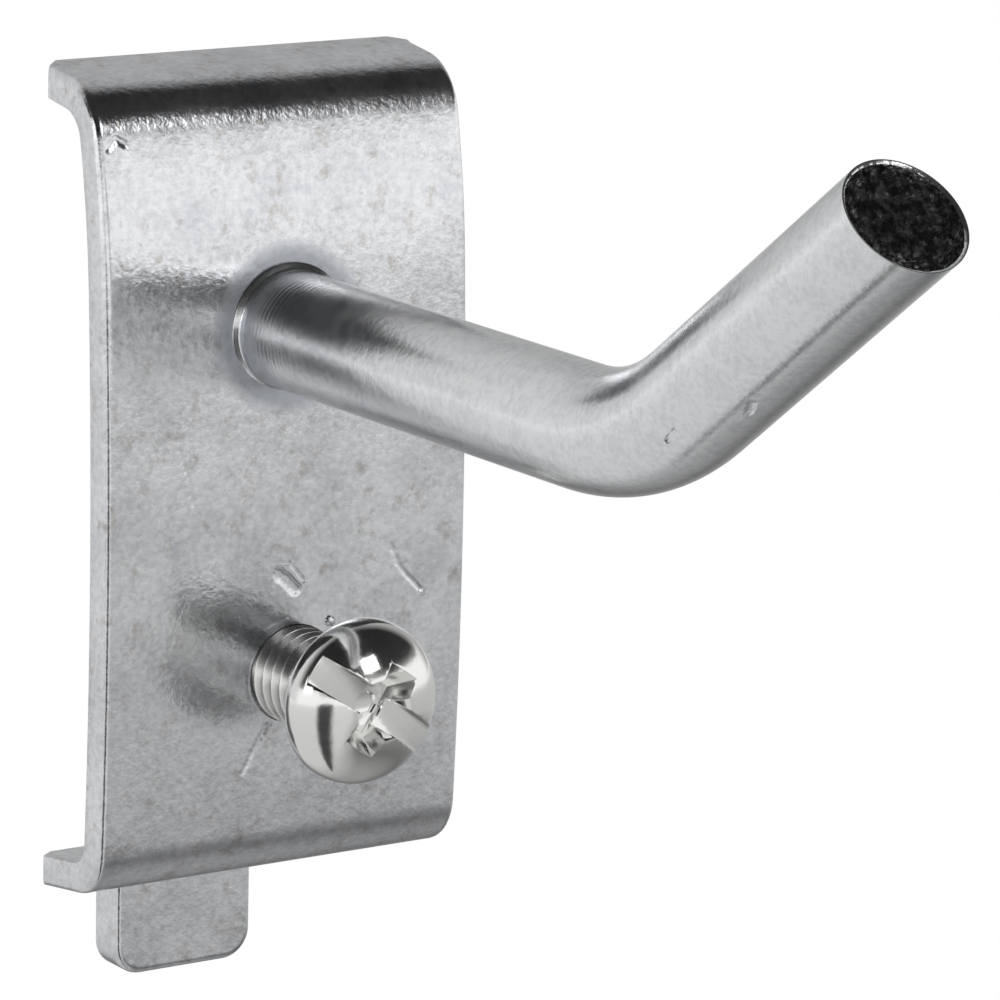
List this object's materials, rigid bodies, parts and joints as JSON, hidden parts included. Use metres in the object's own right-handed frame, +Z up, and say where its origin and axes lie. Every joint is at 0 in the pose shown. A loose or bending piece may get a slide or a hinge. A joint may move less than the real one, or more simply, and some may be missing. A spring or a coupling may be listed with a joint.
{
  "type": "pegboard hook",
  "caption": "Plated steel tool hook for a square-hole panel: pressed back plate, inner strip with two tongues, round bar with an upturned end and a locking screw.",
  "frame": {"origin": "on the panel's front face and the plate's centre line, where the underside of the upper tongue's neck rests on the lower edge of its hole", "axes": "+X to the right seen from the front, +Y into the panel, +Z up; the bar points along -Y"},
  "size_m": [0.0212, 0.0634, 0.0515],
  "materials": {
    "plated_sheet": "zinc plated pressed sheet, finely mottled, satin",
    "plated_bar": "zinc plated drawn bar, satin, with a dark sheared end",
    "bright_screw": "bright plated screw"
  },
  "bodies": {
    "hook": {"base_plate": "plated_sheet", "tongue_strip": "plated_sheet", "hook_rod": "plated_bar"},
    "screw": {"locking_screw": "bright_screw"}
  },
  "joints": [
    {"name": "screw_feed", "type": "slide", "parent": "hook", "child": "screw", "axis": [0, 1, 0], "range_m": [-0.0025, 0.0055]}
  ]
}
